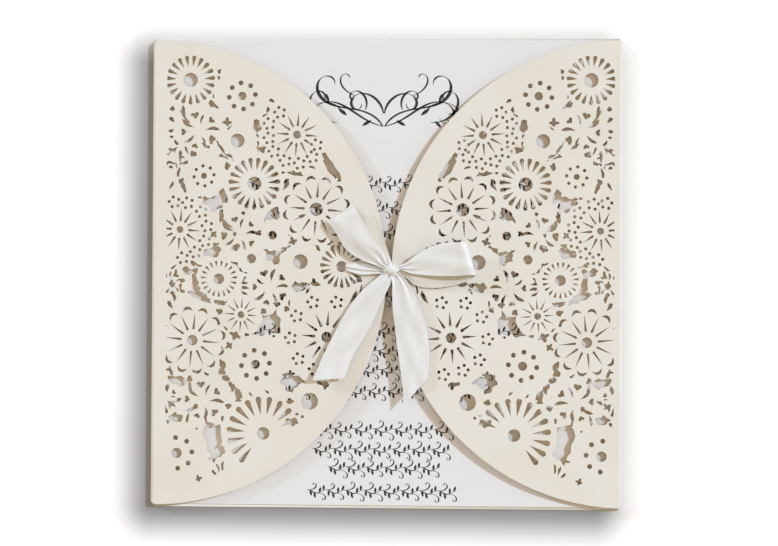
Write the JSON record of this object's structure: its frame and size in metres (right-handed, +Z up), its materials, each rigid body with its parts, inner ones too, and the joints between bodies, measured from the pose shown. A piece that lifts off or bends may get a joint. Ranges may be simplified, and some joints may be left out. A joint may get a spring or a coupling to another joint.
{
  "type": "laser cut wedding invitation",
  "caption": "Square gatefold invitation: a folded card sleeve with two half-round flower-lace flaps, an insert card inside and a satin ribbon tied in a bow over the flaps.",
  "frame": {"origin": "middle of the underside of the closed invitation, on the surface that it lies on", "axes": "+X to the right across the text, +Y up the text, +Z up from the table, out of the lace flaps and the bow"},
  "size_m": [0.15, 0.15, 0.008],
  "materials": {
    "pearl_card": "cream card with a faint pearl sheen, laser cut edges",
    "insert_card": "cool white linen-embossed card",
    "satin_ribbon": "white satin"
  },
  "bodies": {
    "root": {"sleeve": "pearl_card", "insert_card": "insert_card", "ribbon": "satin_ribbon"}
  },
  "joints": []
}
